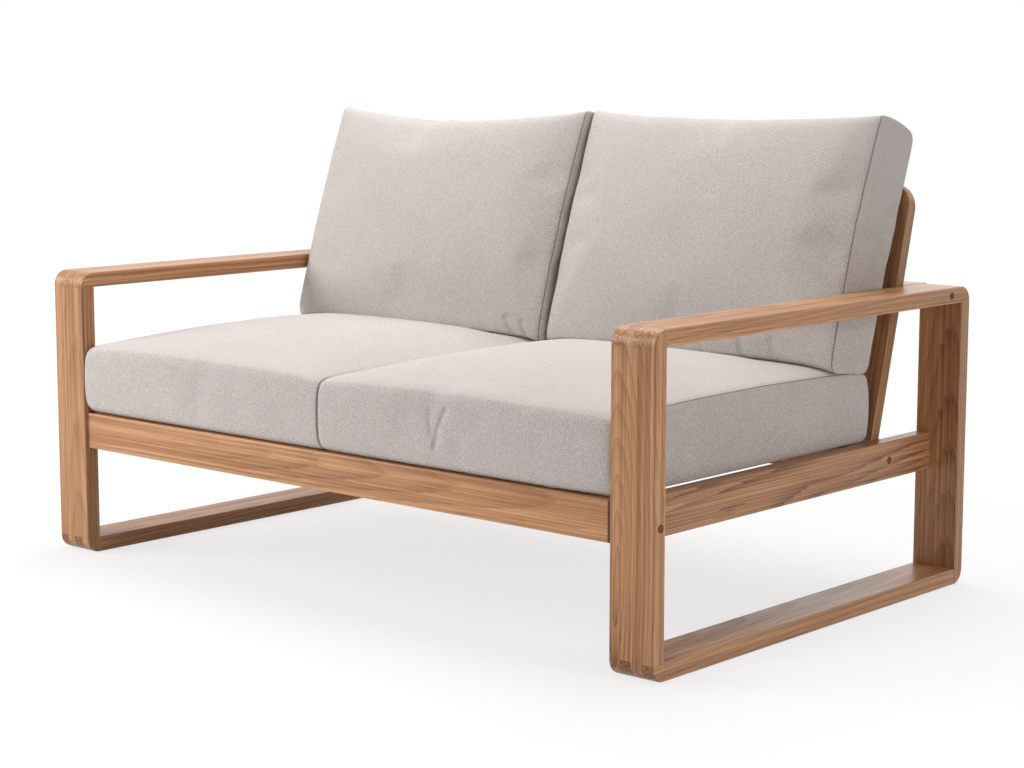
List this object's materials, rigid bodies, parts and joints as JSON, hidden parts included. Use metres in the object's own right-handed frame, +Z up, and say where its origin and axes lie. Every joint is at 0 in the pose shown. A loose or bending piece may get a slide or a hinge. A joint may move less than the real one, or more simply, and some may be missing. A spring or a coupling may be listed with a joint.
{
  "type": "patio loveseat",
  "caption": "Outdoor loveseat with looped box-jointed wooden side frames, slatted seat, reclined slatted back and loose seat and back cushions.",
  "frame": {"origin": "on the floor under the middle of the loveseat's outer box", "axes": "+X to the right seen from the front, front towards -Y, +Z up"},
  "size_m": [1.52, 0.952, 0.8724],
  "materials": {
    "teak": "oiled, fine straight grain",
    "plug_teak": "end grain, oiled",
    "dowel_beech": "plain",
    "stainless_steel": "brushed",
    "cushion_fabric": "woven, matt"
  },
  "bodies": {
    "frame": {"front_leg_left": "teak", "front_leg_right": "teak", "rear_leg_left": "teak", "rear_leg_right": "teak", "arm_rail_left": "teak", "arm_rail_right": "teak", "foot_rail_left": "teak", "foot_rail_right": "teak", "side_apron_left": "teak", "side_apron_right": "teak", "front_seat_rail": "teak", "rear_seat_rail": "teak", "back_support_rail": "teak", "front_slat_cleat": "teak", "rear_slat_cleat": "teak", "seat_slat_1": "teak", "seat_slat_2": "teak", "seat_slat_3": "teak", "seat_slat_4": "teak", "seat_slat_5": "teak", "seat_slat_6": "teak", "seat_slat_7": "teak", "seat_slat_8": "teak", "seat_slat_9": "teak", "back_stile_left": "teak", "back_stile_right": "teak", "back_top_rail": "teak", "back_lower_rail": "teak", "back_slat_1": "teak", "back_slat_2": "teak", "back_slat_3": "teak", "back_slat_4": "teak", "back_slat_5": "teak", "back_slat_6": "teak", "back_slat_7": "teak", "back_slat_8": "teak", "back_slat_9": "teak", "leg_plugs": "plug_teak", "apron_plugs": "plug_teak", "arm_plugs": "plug_teak", "leg_bolts": "stainless_steel", "apron_bolts": "stainless_steel", "arm_bolts": "stainless_steel", "barrel_nuts": "stainless_steel", "back_frame_screws": "stainless_steel", "rail_dowels": "dowel_beech", "back_foot_dowels": "dowel_beech"},
    "left_seat": {"seat_cushion_left": "cushion_fabric"},
    "right_seat": {"seat_cushion_right": "cushion_fabric"},
    "left_back": {"back_cushion_left": "cushion_fabric"},
    "right_back": {"back_cushion_right": "cushion_fabric"}
  },
  "joints": [
    {"name": "left_seat_slide", "type": "slide", "parent": "frame", "child": "left_seat", "axis": [0, -1, 0], "range_m": [0, 0.78]},
    {"name": "right_seat_slide", "type": "slide", "parent": "frame", "child": "right_seat", "axis": [0, -1, 0], "range_m": [0, 0.78]},
    {"name": "left_back_lift", "type": "slide", "parent": "frame", "child": "left_back", "axis": [0, 0.2504, 0.9681], "range_m": [0, 0.45]},
    {"name": "right_back_lift", "type": "slide", "parent": "frame", "child": "right_back", "axis": [0, 0.2504, 0.9681], "range_m": [0, 0.45]}
  ]
}
